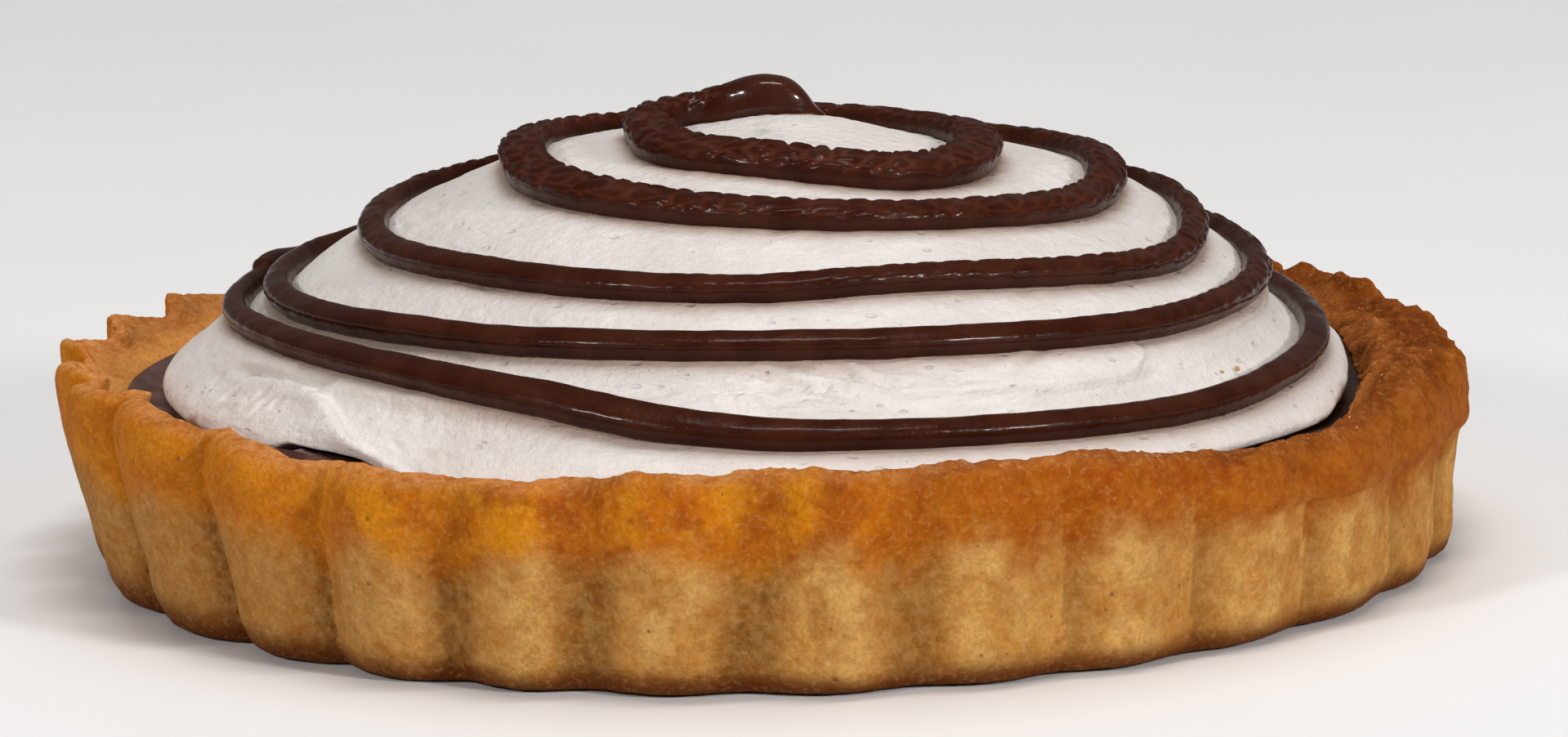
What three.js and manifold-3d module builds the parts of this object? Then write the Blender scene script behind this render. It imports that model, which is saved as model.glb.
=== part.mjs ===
// A chocolate cream tart: a fluted shortcrust case, a level of dark chocolate filling, a spread
// dome of cream, and one rope of chocolate piped in a spiral from the top to the foot of the dome.
// Millimetres, +Z up. The origin is the middle of the underside. Angles called "turn" start at
// the front, -Y, and grow towards +X. The piping's angles are degrees from +X towards the back, +Y.
import * as THREE from "three";
import { mergeVertices } from "three/addons/utils/BufferGeometryUtils.js";
import Module from "manifold-3d";

// Fluted case
const CASE_RADIUS = 60.6; // over the lobes, at the rim
const BASE_RADIUS = 57.9; // over the lobes, at the foot
const RIM_LEAN = 1.1; // the rim lies this much further towards -X than the foot
const CASE_HEIGHT = 18.2; // crest of the rim
const WIDEST_HEIGHT = 14.6;
const FLUTES = 30;
const POINTS_PER_FLUTE = 6;
const FLUTE_DEPTH = 2.2;
const FLUTE_ROUNDNESS = 0.7; // under 1: broad lobes and sharp valleys
const FIRST_VALLEY = -1.3; // degrees from the front
// The flutes aren't quite even: these waves round the case shift them, in degrees.
const FLUTE_WAVES = [
  { shift: 1.8, waves: 1, phase: 46 },
  { shift: 1.8, waves: 2, phase: 5 },
];
const CREST_STEP = { front: 0.6, back: 1.5 }; // the rim rises this much from a valley to a lobe
const FLOOR_THICKNESS = 5;
const FLOOR_EDGE_RADIUS = 50.5;
const MIDDLE_HEIGHT = 9;
const MIDDLE_DRAFT = 0.6; // the wall's inside comes in this much at the middle height
// How the foot and the rim are rounded: distance in from the outside or out from the inside of
// the wall, with the height above the underside or the drop below the crest.
const FOOT_ROUNDING = [
  { inwards: 1.7, height: 0 },
  { inwards: 0.5, height: 0.5 },
  { inwards: 0, height: 2 },
];
const RIM_OUTSIDE = [
  { inwards: 0, drop: 3.6 },
  { inwards: 0.4, drop: 1.6 },
  { inwards: 1.3, drop: 0.4 },
];
const RIM_INSIDE = [
  { outwards: 1.4, drop: 0.9 },
  { outwards: 0.3, drop: 2.2 },
];
const THICK_RIM_ROUNDER = 1.1; // the thick rim at +X is rounder outside than the thin one by this
const CREST_OFFSET = 0.4; // from the middle of the wall towards the outside
const WALL_INSIDE_RADIUS = 53.4; // at the level of the filling
const WALL_INSIDE_SHIFT = 1.3; // the wall is this much thicker at +X and thinner at -X
// The rim's long waves: how far it sinks, round which turn, over what spread in degrees.
const RIM_WAVES = [
  { depth: 1.9, turn: 46, spread: 15 },
  { depth: 0.9, turn: -32, spread: 12 },
  { depth: 0.6, turn: 180, spread: 80 },
];

// Chocolate filling
const FILLING_LEVEL = 14.6;
const FILLING_CREEP = 0.9; // it climbs the wall by this much
// The climb, as distance in from the filling's edge and share of the climb's height.
const FILLING_CLIMB = [
  { inwards: 0, share: 1 },
  { inwards: 0.8, share: 0.3 },
  { inwards: 2.1, share: 0 },
];
const FILLING_SEGMENTS = 48;

// Cream dome
const CREAM_TOP = 35.7;
const CREAM_SPREAD = 53; // where the top's parabola would meet the filling
const CREAM_SEGMENTS = 72;
const CREAM_RADII = [5, 10, 15, 20, 25, 30, 34.5, 39, 43];
const CREAM_HUMP = { height: 1.0, x: 3, y: 7, spread: 8 }; // where the spatula was lifted
// The side below the shoulder. It is shifted towards -X, by less and less on its way down.
const CREAM_SIDE = [
  { radius: 45.0, shift: 1.5, height: 20.9 },
  { radius: 46.5, shift: 1.5, height: 19.8 },
  { radius: 47.8, shift: 1.4, height: 18.3 },
  { radius: 49.8, shift: 1.0, height: 16.6 },
  { radius: 50.7, shift: 0.9, height: 15.7 },
];
const CREAM_UNDERCUT = 0.9;

// Piped rope, one row for each time round: its distance from the middle at the back, back left,
// left, front left, front, front right, right and back right.
const ROPE_RINGS = [
  [10.0, 9.4, 9.8, 10.9, 11.6, 16.7, 18.5, 21.9],
  [24.2, 23.4, 20.4, 20.4, 22.6, 25.9, 29.1, 30.4],
  [31.8, 32.5, 32.9, 32.5, 32.9, 34.0, 35.5, 37.3],
  [38.8, 40.0, 40.6, 39.3, 38.5, 40.6, 41.4, 42.5],
  [43.6, 44.4, 44.9, 43.2, 47.6, 47.8, 46.1, 46.8],
  [47.3, 47.3, 47.0],
];
const ROPE_FIRST_ANGLE = 90;
const ROPE_STATION_STEP = 45;
const ROPE_START_ANGLE = 62;
const ROPE_START_RADIUS = 11.4;
const ROPE_END_ANGLE = 1942;
const ROPE_STEPS_PER_TURN = 32;
const ROPE_SIDES = 8;
const ROPE_SHOULDER = 0.35; // share of its height where the rope is widest
const ROPE_TIP = { steps: 1.5, size: 0.55 }; // it narrows to this size over its last steps
const ROPE_CLEARANCE = 0.4;
// The rope's width and height at some angles along it: a blob to begin with, then thinning.
const ROPE_SIZES = [
  { angle: 62, width: 3.4, height: 2.2 },
  { angle: 82, width: 5.0, height: 3.2 },
  { angle: 112, width: 4.0, height: 2.0 },
  { angle: 180, width: 4.8, height: 2.3 },
  { angle: 540, width: 4.6, height: 2.2 },
  { angle: 640, width: 3.5, height: 1.7 },
  { angle: 720, width: 4.1, height: 1.9 },
  { angle: 900, width: 2.9, height: 1.8 },
  { angle: 1620, width: 2.7, height: 1.9 },
  { angle: 1740, width: 2.9, height: 2.0 },
  { angle: 1960, width: 2.6, height: 1.9 },
];
// The rope's tail climbs onto the ring above it: how many degrees it laps the rope's end and runs
// on, how far it starts outside and above the rope's track, and where its tip lies.
const TAIL = { lap: 4, length: 26, outside: 0.8, above: 2, steps: 5, thickness: 1.7 };
const TAIL_TIP = { radius: 45.9, height: 23.3, size: 0.6 };

const CONTACT_GAP = 0.3;

const FINISHES = {
  crust: { color: 0xb87a3c, roughness: 0.8, metalness: 0 },
  chocolate_filling: { color: 0x2e1a15, roughness: 0.35, metalness: 0 },
  cream_dome: { color: 0xdad3ce, roughness: 0.6, metalness: 0 },
  piped_chocolate: { color: 0x3d211a, roughness: 0.3, metalness: 0 },
};

const wasm = await Module();
wasm.setup();

// A solid of revolution whose section changes with the turn: section(turn) is a list of
// Vector2(radius, height) from the underside's middle to the top's middle.
function turnedSolid(section, segments, turnAt = (share) => share * 2 * Math.PI) {
  const geometry = new THREE.LatheGeometry(section(0), segments);
  const place = geometry.getAttribute("position");
  const rows = section(0).length;
  for (let i = 0; i <= segments; i += 1) {
    const turn = turnAt(i / segments);
    section(turn, i).forEach((point, row) => {
      const x = point.x * Math.sin(turn);
      const y = -point.x * Math.cos(turn);
      place.setXYZ(i * rows + row, x, y, point.y);
    });
  }
  return geometry;
}

function flutedTurn(share) {
  const turn = share * 2 * Math.PI;
  const shifts = FLUTE_WAVES.map(({ shift, waves, phase }) => {
    const start = THREE.MathUtils.degToRad(phase);
    return shift * (Math.sin(waves * turn + start) - Math.sin(start));
  });
  const shifted = shifts.reduce((total, shift) => total + shift, FIRST_VALLEY);
  return turn + THREE.MathUtils.degToRad(shifted);
}

// 0 in a valley between two lobes, 1 on top of a lobe.
function lobe(index) {
  const share = (index % POINTS_PER_FLUTE) / POINTS_PER_FLUTE;
  return Math.sin(Math.PI * share) ** FLUTE_ROUNDNESS;
}

function wallInside(turn) {
  return WALL_INSIDE_RADIUS - WALL_INSIDE_SHIFT * Math.sin(turn);
}

// How far the rim lies below its usual height.
function rimSag(turn) {
  const sags = RIM_WAVES.map((wave) => {
    const away = turn - THREE.MathUtils.degToRad(wave.turn);
    const degrees = THREE.MathUtils.radToDeg(Math.atan2(Math.sin(away), Math.cos(away)));
    return wave.depth * Math.exp(-((degrees / wave.spread) ** 2));
  });
  return sags.reduce((total, sag) => total + sag, 0);
}

function crustSection(turn, index = 0) {
  const valley = FLUTE_DEPTH * (1 - lobe(index));
  const outside = (height) => {
    const share = height / WIDEST_HEIGHT;
    const lean = RIM_LEAN * Math.sin(turn) * (0.5 - share);
    return THREE.MathUtils.lerp(BASE_RADIUS, CASE_RADIUS, share) + lean - valley;
  };
  const back = (1 - Math.cos(turn)) / 2;
  const step = THREE.MathUtils.lerp(CREST_STEP.front, CREST_STEP.back, back);
  const crest = CASE_HEIGHT - rimSag(turn) - step * (1 - lobe(index));
  const rounder = 1 + (THICK_RIM_ROUNDER * (1 + Math.sin(turn))) / 2;
  const inside = wallInside(turn);
  const foot = FOOT_ROUNDING.map(
    ({ inwards, height }) => new THREE.Vector2(outside(height) - inwards, height),
  );
  const rimOutside = RIM_OUTSIDE.map(
    ({ inwards, drop }) =>
      new THREE.Vector2(outside(WIDEST_HEIGHT) - inwards * rounder, crest - drop),
  );
  const rimInside = RIM_INSIDE.map(
    ({ outwards, drop }) => new THREE.Vector2(inside + outwards, crest - drop),
  );
  return [
    new THREE.Vector2(0, 0),
    ...foot,
    new THREE.Vector2(outside(MIDDLE_HEIGHT), MIDDLE_HEIGHT),
    ...rimOutside,
    new THREE.Vector2((inside + CASE_RADIUS) / 2 + CREST_OFFSET, crest),
    ...rimInside,
    new THREE.Vector2(inside - MIDDLE_DRAFT, MIDDLE_HEIGHT),
    new THREE.Vector2(FLOOR_EDGE_RADIUS, FLOOR_THICKNESS),
    new THREE.Vector2(0, FLOOR_THICKNESS),
  ];
}

function fillingSection(turn) {
  const edge = wallInside(turn) - CONTACT_GAP;
  const underside = FLOOR_THICKNESS + CONTACT_GAP;
  const climb = FILLING_CLIMB.map(
    ({ inwards, share }) =>
      new THREE.Vector2(edge - inwards, FILLING_LEVEL + share * FILLING_CREEP),
  );
  return [
    new THREE.Vector2(0, underside),
    new THREE.Vector2(FLOOR_EDGE_RADIUS - CONTACT_GAP, underside),
    new THREE.Vector2(edge - MIDDLE_DRAFT, MIDDLE_HEIGHT),
    ...climb,
    new THREE.Vector2(0, FILLING_LEVEL),
  ];
}

// The dome's upper face is a parabola with a low hump. Below its shoulder the side falls more
// steeply, and it ends in a rounded foot.
function creamHeight(radius, turn) {
  const dome = (CREAM_TOP - FILLING_LEVEL) * (1 - (radius / CREAM_SPREAD) ** 2);
  const x = radius * Math.sin(turn) - CREAM_HUMP.x;
  const y = -radius * Math.cos(turn) - CREAM_HUMP.y;
  const hump = CREAM_HUMP.height * Math.exp(-(x * x + y * y) / CREAM_HUMP.spread ** 2);
  return FILLING_LEVEL + dome + hump;
}

// The cream's outline from its middle to its foot at one turn.
function creamOutline(turn) {
  const top = [0, ...CREAM_RADII].map((r) => new THREE.Vector2(r, creamHeight(r, turn)));
  const side = CREAM_SIDE.map(
    ({ radius, shift, height }) => new THREE.Vector2(radius - shift * Math.sin(turn), height),
  );
  return [...top, ...side];
}

function creamSection(turn) {
  const underside = FILLING_LEVEL + CONTACT_GAP;
  const outline = creamOutline(turn).reverse();
  return [
    new THREE.Vector2(0, underside),
    new THREE.Vector2(outline[0].x - CREAM_UNDERCUT, underside),
    ...outline,
  ];
}

// A point on the cream, with the outward direction there, in the upright plane at this turn.
function onCream(radius, turn) {
  const outline = creamOutline(turn);
  const next = outline.findIndex((point) => point.x > radius);
  const [inner, outer] = [outline[next - 1], outline[next]];
  const share = (radius - inner.x) / (outer.x - inner.x);
  const height = THREE.MathUtils.lerp(inner.y, outer.y, share);
  const normal = new THREE.Vector2(inner.y - outer.y, outer.x - inner.x).normalize();
  return { height, normal };
}

const ropeCurve = new THREE.CatmullRomCurve3(
  [
    new THREE.Vector3(ROPE_START_ANGLE, ROPE_START_RADIUS, 0),
    ...ROPE_RINGS.flat().map(
      (radius, i) => new THREE.Vector3(ROPE_FIRST_ANGLE + i * ROPE_STATION_STEP, radius, 0),
    ),
  ],
  false,
  "catmullrom",
);

// The rope's distance from the middle at an angle, between its stations.
function ropeRadius(angle) {
  const stations = ropeCurve.points;
  const from = Math.max(0, stations.findIndex((point) => point.x > angle) - 1);
  const [a, b] = [stations[from], stations[from + 1]];
  const share = (angle - a.x) / (b.x - a.x);
  return ropeCurve.getPoint((from + share) / (stations.length - 1)).y;
}

function ropeSize(angle) {
  const next = ROPE_SIZES.findIndex((size) => size.angle > angle);
  const [from, to] = [ROPE_SIZES[next - 1] ?? ROPE_SIZES[0], ROPE_SIZES[next]];
  const share = THREE.MathUtils.smoothstep(angle, from.angle, to.angle);
  return {
    width: THREE.MathUtils.lerp(from.width, to.width, share),
    height: THREE.MathUtils.lerp(from.height, to.height, share),
  };
}

// Bends a closed cylinder along a route. section(share, side) gives the point for a share of the
// length and an angle round the section, and middle(share) the point in its middle.
function bentRod(steps, sides, section, middle) {
  const geometry = new THREE.CylinderGeometry(1, 1, 1, sides, steps);
  const place = geometry.getAttribute("position");
  for (let i = 0; i < place.count; i += 1) {
    const share = 0.5 - place.getY(i);
    const off = Math.hypot(place.getX(i), place.getZ(i));
    const side = Math.atan2(place.getX(i), place.getZ(i));
    const point = off < 0.5 ? middle(share) : section(share, side);
    place.setXYZ(i, point.x, point.y, point.z);
  }
  return geometry;
}

// Half an ellipse with a flat underside that follows the cream, smaller towards both ends.
function ropeSolid() {
  const length = ROPE_END_ANGLE - ROPE_START_ANGLE;
  const steps = Math.round((length / 360) * ROPE_STEPS_PER_TURN);
  const at = (share, across, up) => {
    const angle = ROPE_START_ANGLE + share * length;
    const radians = THREE.MathUtils.degToRad(angle);
    const turn = radians + Math.PI / 2;
    const middle = onCream(ropeRadius(angle), turn);
    const beside = onCream(ropeRadius(angle) + middle.normal.y * across, turn);
    const lift = ROPE_CLEARANCE / middle.normal.y;
    const flat = middle.height - middle.normal.x * across + lift;
    const base = up > 0 ? flat : beside.height + lift;
    const radius = ropeRadius(angle) + middle.normal.y * across + middle.normal.x * up;
    const z = base + middle.normal.y * up;
    return new THREE.Vector3(radius * Math.cos(radians), radius * Math.sin(radians), z);
  };
  const ending = (share) => {
    const fromEnd = (Math.min(share, 1 - share) * steps) / ROPE_TIP.steps;
    return THREE.MathUtils.lerp(ROPE_TIP.size, 1, Math.min(1, fromEnd));
  };
  const section = (share, side) => {
    const size = ropeSize(ROPE_START_ANGLE + share * length);
    const level = ROPE_SHOULDER + (1 - ROPE_SHOULDER) * Math.cos(side);
    const across = (-Math.sin(side) * size.width * ending(share)) / 2;
    return at(share, across, Math.max(0, level) * size.height * ending(share));
  };
  return bentRod(steps, ROPE_SIDES, section, (share) => at(share, 0, ROPE_SHOULDER));
}

function tailSolid() {
  const startAngle = ROPE_END_ANGLE - TAIL.lap;
  const start = THREE.MathUtils.degToRad(startAngle);
  const length = THREE.MathUtils.degToRad(TAIL.length);
  const startRadius = ropeRadius(startAngle) + TAIL.outside;
  const startHeight = onCream(startRadius, start + Math.PI / 2).height + TAIL.above;
  const at = (share, across, up) => {
    const angle = start + share * length;
    const radius = THREE.MathUtils.lerp(startRadius, TAIL_TIP.radius, share ** 1.5) + across;
    const z = THREE.MathUtils.lerp(startHeight, TAIL_TIP.height, Math.sqrt(share)) + up;
    return new THREE.Vector3(radius * Math.cos(angle), radius * Math.sin(angle), z);
  };
  const section = (share, side) => {
    const half = (TAIL.thickness / 2) * (share === 1 ? TAIL_TIP.size : 1);
    return at(share, -Math.sin(side) * half, Math.cos(side) * half);
  };
  return bentRod(TAIL.steps, ROPE_SIDES, section, (share) => at(share, 0, 0));
}

function toManifold(geometry) {
  geometry.deleteAttribute("normal");
  geometry.deleteAttribute("uv");
  const merged = mergeVertices(geometry, 1e-3);
  return new wasm.Manifold(
    new wasm.Mesh({
      numProp: 3,
      vertProperties: merged.getAttribute("position").array,
      triVerts: new Uint32Array(merged.index.array),
    }),
  );
}

function fromManifold(solid) {
  const { vertProperties, triVerts } = solid.getMesh();
  const geometry = new THREE.BufferGeometry();
  geometry.setAttribute("position", new THREE.BufferAttribute(vertProperties, 3));
  geometry.setIndex(new THREE.BufferAttribute(triVerts, 1));
  geometry.computeVertexNormals();
  return geometry;
}

const crustSegments = FLUTES * POINTS_PER_FLUTE;
const crust = turnedSolid(crustSection, crustSegments, flutedTurn);
const filling = turnedSolid(fillingSection, FILLING_SEGMENTS);
const cream = turnedSolid(creamSection, CREAM_SEGMENTS);
const rope = toManifold(ropeSolid()).add(toManifold(tailSolid()));

const pieces = {
  crust,
  chocolate_filling: filling,
  cream_dome: cream,
  piped_chocolate: fromManifold(rope),
};

const tart = new THREE.Group();
for (const [name, geometry] of Object.entries(pieces)) {
  const piece = new THREE.Mesh(geometry, new THREE.MeshStandardMaterial(FINISHES[name]));
  piece.name = name;
  tart.add(piece);
}

export default tart;
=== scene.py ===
import math

import bpy
import numpy as np
from mathutils import Matrix, Vector, kdtree, noise


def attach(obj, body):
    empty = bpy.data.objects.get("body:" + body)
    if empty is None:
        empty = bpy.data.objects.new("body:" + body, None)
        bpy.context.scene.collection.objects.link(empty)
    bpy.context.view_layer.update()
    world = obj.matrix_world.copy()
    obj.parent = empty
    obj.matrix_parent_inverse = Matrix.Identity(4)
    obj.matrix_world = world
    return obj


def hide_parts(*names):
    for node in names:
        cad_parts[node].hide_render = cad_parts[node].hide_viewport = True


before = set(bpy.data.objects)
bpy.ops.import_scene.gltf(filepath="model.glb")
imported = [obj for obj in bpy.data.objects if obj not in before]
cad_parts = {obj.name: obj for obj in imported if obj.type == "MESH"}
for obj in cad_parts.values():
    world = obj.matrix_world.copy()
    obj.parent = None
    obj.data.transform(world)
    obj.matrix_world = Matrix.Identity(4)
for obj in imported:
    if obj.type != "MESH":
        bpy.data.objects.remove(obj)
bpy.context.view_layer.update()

MM = 0.001
FULL_TURN = 2 * math.pi

# ---- the tart's sizes, in millimetres
CASE_RADIUS = 60.6
BASE_RADIUS = 57.9
RIM_LEAN = 1.1
WIDEST_HEIGHT = 14.6
FLOOR_THICKNESS = 5.0
FLOOR_EDGE_RADIUS = 50.5
# Where two flutes meet, at the rim and at the foot, in degrees. Round the back they are even.
# The rim's turns hold from this height up.
STRAIGHT_HEIGHT = 15
VALLEYS = [
    (-126.2, -125), (-115.1, -114), (-103.3, -102), (-90.6, -89.4), (-77.6, -76.8),
    (-65, -64.5), (-51, -50.7), (-37.2, -38.6), (-25.2, -26.2), (-13.9, -15.2),
    (-0.2, -2.3), (10.7, 11.4), (23, 23.8), (34.9, 35.6), (47.3, 48.1), (60.2, 61.9),
    (74, 74), (84, 84), (93.8, 93.8), (104.5, 104.5), (115.5, 115.5), (126.5, 126.5),
]
BACK_FLUTES = 9
# The rim's crest all round: turn and height, without the dips between the flutes.
RIM_CREST = [
    (-180, 18), (-150, 17.9), (-128, 17.5), (-115, 17.5), (-103, 17.7), (-90, 18),
    (-78, 18.5), (-69, 18.9), (-64, 19.3), (-60, 19.1), (-56, 18.8), (-53, 18.3), (-50, 18.4),
    (-46, 18.2), (-44, 17.8), (-42, 17.4), (-40, 17.3), (-35, 17.5), (-30, 17.4), (-25, 17.2),
    (-20, 17.4), (-15, 17.7), (-10, 18.6), (-5, 18.1), (0, 18.4), (5, 18.5), (10, 17.9),
    (15, 18.5), (20, 18.2), (25, 18.3), (30, 17.6), (35, 16.9), (40, 16.4), (45, 16),
    (50, 15.9), (55, 16), (58, 16.4), (62, 17.2), (66, 17.9), (72, 18.2), (80, 18),
    (90, 17.8), (98, 17.5), (104, 17.2), (109, 16.8), (112.6, 16.8), (113.6, 18),
    (115, 18.2), (117.6, 17.9), (118.8, 17.1), (121.5, 17), (123, 17.1), (124.2, 17.7),
    (125.4, 17.2), (128, 17), (135, 17.8), (150, 18), (180, 18),
]
# The case by turn: dip of the rim between flutes, flute depth, softness of the valleys, radius of
# the wall's inside, how far in the crest lies, rounding of the outer edge, flatness of the rim's
# top, and roughness.
CASE_SHAPE = [
    (-180, 0.5, 2.3, 0, 52.6, 1.6, 0.7, 0.1, 0.5),
    (-128, 0.4, 2.5, 0, 52.2, 0.7, 0.35, 0, 0.5),
    (-112, 0.4, 2.6, 0, 52.8, 0.6, 0.3, 0, 0.5),
    (-102, 0.3, 2.6, 0, 53.8, 0.6, 0.3, 0, 0.5),
    (-90, 0.3, 2.7, 0, 54.7, 0.8, 0.4, 0, 0.5),
    (-76, 0.2, 2.7, 0, 54.7, 1.4, 0.7, 0, 0.5),
    (-66, 0.1, 2.6, 0, 54.3, 2.4, 1.1, 0.1, 0.6),
    (-52, 0.1, 2.5, 0.04, 53.8, 2.9, 1.5, 0.2, 0.6),
    (-38, 0.1, 1.9, 0.15, 53.5, 3.2, 2, 0.3, 0.5),
    (-25, 0.1, 1.5, 0.35, 53.4, 3, 1.7, 0.3, 0.8),
    (-5, 0.1, 1.4, 0.5, 53.4, 3, 1.7, 0.3, 0.9),
    (25, 0.1, 1.2, 0.5, 53.6, 3, 1.7, 0.3, 0.9),
    (48, 0.1, 1, 0.5, 53.8, 3.2, 1.9, 0.4, 0.9),
    (62, 0.1, 0.9, 0.5, 53.6, 3.4, 2.2, 0.6, 1),
    (68, 0.15, 0.9, 0.5, 52.4, 4, 2.6, 0.8, 1.3),
    (80, 0.2, 1, 0.5, 51, 4.2, 2.6, 1, 1.6),
    (97, 0.3, 1.2, 0.4, 50.8, 3.6, 2.2, 0.9, 1.6),
    (108, 0.5, 1.6, 0.3, 52.4, 2.6, 1.2, 0.5, 1.2),
    (122, 0.6, 2.2, 0.05, 52.6, 1.4, 0.6, 0.1, 0.8),
    (150, 0.5, 2.3, 0, 52.4, 1.5, 0.7, 0.1, 0.5),
    (180, 0.5, 2.3, 0, 52.6, 1.6, 0.7, 0.1, 0.5),
]

FILLING_LEVEL = 14.6
# The cream's dome: the height of its top, where it would meet the filling, and its rows of points.
CREAM_TOP = 35.7
CREAM_SPREAD = 53.0
CREAM_RADII = [0, 5, 10, 15, 20, 25, 30, 34.5, 39, 43]
# A low hump near the top: height, x and y of its middle, and spread.
CREAM_HUMP = (1, 3, 7, 8)
# How much fuller the cream is behind its middle, at the left and at the right.
CREAM_BACK = (1.3, 2.2)
# The cream's side: distance from the middle at the left, the front and the right, and height.
# The last rows of it turn in again.
WIDENING_ROWS = 5
CREAM_SIDE = [
    (46.5, 45, 43.2, 20.9),
    (48, 46.5, 44.4, 19.6),
    (49.2, 47.8, 46.1, 18.6),
    (50.6, 49.6, 48.2, 17.6),
    (51.6, 50.6, 49.4, 16.4),
    (51.7, 50.7, 49.6, 15.5),
    (50.6, 49.6, 48.8, 14.9),
]

# Torn strokes in the cream: turn, distance from the middle, height, half length, half width, tilt
# in degrees and depth.
CREAM_DENTS = [
    (-70.5, 48.5, 18.9, 0.7, 0.45, 20, 0.35), (-64.6, 49.2, 18, 0.7, 0.5, 60, 0.55),
    (-62, 50.1, 17.2, 0.6, 0.4, 50, 0.35), (-66, 47.9, 20, 1, 0.45, 30, 0.35),
    (-59.5, 48.9, 18.9, 0.9, 0.4, 70, 0.3), (-57.6, 49.4, 18.2, 1, 0.4, 78, 0.3),
    (-55.8, 48.9, 18.8, 0.8, 0.4, 66, 0.3), (-45.2, 43.6, 21.6, 0.9, 0.4, 0, 0.3),
    (9.8, 41.5, 22.8, 1.5, 0.45, -25, 0.75), (6.2, 41.1, 23, 1.9, 0.4, -20, 0.65),
    (3, 42, 22.3, 2.4, 0.45, -15, 0.7), (-3.6, 42.6, 21.9, 2.1, 0.4, -10, 0.6),
    (6.3, 43.9, 21.3, 1.7, 0.4, -15, 0.7), (-0.5, 41, 23, 1.6, 0.4, -12, 0.5),
    (12.5, 42.8, 21.9, 1.8, 0.4, -25, 0.6), (16, 41.6, 22.6, 2.2, 0.4, -12, 0.5),
    (-41, 49, 18.5, 0.8, 0.4, 10, 0.25), (-37.5, 49.5, 17.9, 1, 0.4, -20, 0.25),
    (-33.5, 49.9, 17.4, 0.9, 0.4, 0, 0.3), (-31, 49.9, 17.4, 0.7, 0.4, 15, 0.25),
    (-26, 49.5, 17.9, 1, 0.4, 0, 0.2), (58, 46.5, 18.5, 1, 0.4, 60, 0.3),
    (61, 46, 18.8, 0.8, 0.4, 40, 0.25), (36, 48, 18, 2, 0.45, 25, 0.25),
    (25, 43, 21.8, 2.6, 0.45, 12, 0.25), (31, 41.5, 22.4, 2.2, 0.45, 20, 0.25),
]
# Torn patches: depth, turn and its spread, height and its spread.
CREAM_TORN = [
    (1.7, 4, 13, 21.8, 1.4), (0.5, 30, 10, 19.6, 0.7), (0.4, -60, 5, 18.3, 1.3),
    (0.45, -36, 9, 19.3, 1.3),
]
# How many fainter strokes are drawn all over the cream.
DRAWN_DENTS = 110
# Where the cream arches over the filling: how far each row of its side moves in and up.
ARCH_INWARD = (0, 0, 0, 0.1, 0.3, 0.5, 3)
ARCH_UP = (0, 0, 0.1, 0.2, 0.4, 0.9, 1.4)

# The rope's distance from the middle, evenly once round each ring from the back, anticlockwise.
ROPE_RINGS = [
    [10.2, 12, 9.3, 10.2, 11.8, 17.1, 18.2, 19.5],
    [24, 23.4, 20.2, 20.4, 22.1, 25.1, 28.9, 31.7],
    [31.9, 32.6, 33.3, 33.4, 33.2, 32.6, 32.1, 32.3, 32.4, 32.2, 34.1, 35.9, 36.3, 37, 37.5, 38.3],
    [39.1, 40.2, 41.2, 42, 41.5, 40.4, 39.5, 39.2, 39, 39.7, 40.9, 41.3, 41.6, 41.8, 42.6, 43.1],
    [43.9, 44.6, 45, 45.2, 45.2, 43.9, 43.8, 45.6, 47.7, 48.4, 49.3, 47.7, 46.3, 46.2, 46.6, 46.9],
]
ROPE_START = [(61, 11.2), (75, 10.4)]
ROPE_END = [(1890, 47.3), (1935, 47.3), (1980, 46.4)]
# The rope's last bit climbs on to the lowest ring: angles where it starts and ends, and its tip.
TAIL_FROM, TAIL_TO = 1928, 1965
TAIL_RADIUS, TAIL_HEIGHT = 45.9, 22
# Along the rope: angle, width, height and how wrinkled it is.
ROPE_SIZES = [
    (61, 0.8, 0.2, 0), (65, 2.4, 0.8, 0), (69, 3.6, 1.7, 0), (75, 4.6, 2.8, 0),
    (84, 5.1, 3.4, 0), (94, 5, 3.5, 0), (104, 4.2, 3.1, 0.3), (113, 3.8, 2.7, 0.7),
    (130, 3.8, 2.5, 1), (150, 3.9, 2.4, 1), (180, 4.3, 2.2, 1), (330, 4.3, 2.1, 0.85),
    (390, 3.9, 2, 0.7), (430, 3.4, 1.7, 0.6), (480, 3.5, 1.8, 0.8), (540, 4.1, 2.1, 1),
    (580, 3.9, 2, 1), (640, 3.1, 1.7, 0.6), (700, 3.2, 1.8, 0.8), (730, 3.6, 1.9, 0.8),
    (780, 3.2, 1.8, 0.2), (850, 2.6, 1.7, 0.55), (900, 2.5, 1.7, 0.4), (960, 2.4, 1.7, 0.12),
    (1000, 2.3, 1.7, 0.3), (1060, 2.5, 1.7, 0.85), (1120, 2.5, 1.7, 0.85), (1200, 2.4, 1.7, 0.3),
    (1260, 2.3, 1.7, 0.08), (1390, 2.4, 1.8, 0.1), (1425, 2.4, 1.8, 0.75), (1470, 2.4, 1.7, 0.7),
    (1540, 2.3, 1.7, 0.15), (1630, 2.2, 1.7, 0.05), (1665, 2.6, 1.8, 0.05), (1690, 3.1, 1.9, 0.05),
    (1715, 2.5, 1.8, 0.05), (1780, 2.4, 1.7, 0.05), (1900, 2.3, 1.7, 0.05), (1938, 2.2, 1.6, 0.05),
    (1952, 2.1, 1.6, 0), (1962, 1.9, 1.5, 0), (1964, 1.5, 1.2, 0), (1965, 0.5, 0.4, 0),
]
# Dips in the rope's line, by angle. A dip itself counts as 0, and the smooth curve through it
# lifts the rope by a hair just before and after it.
ROPE_DIPS = {430: -0.6, 480: -0.3}


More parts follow.
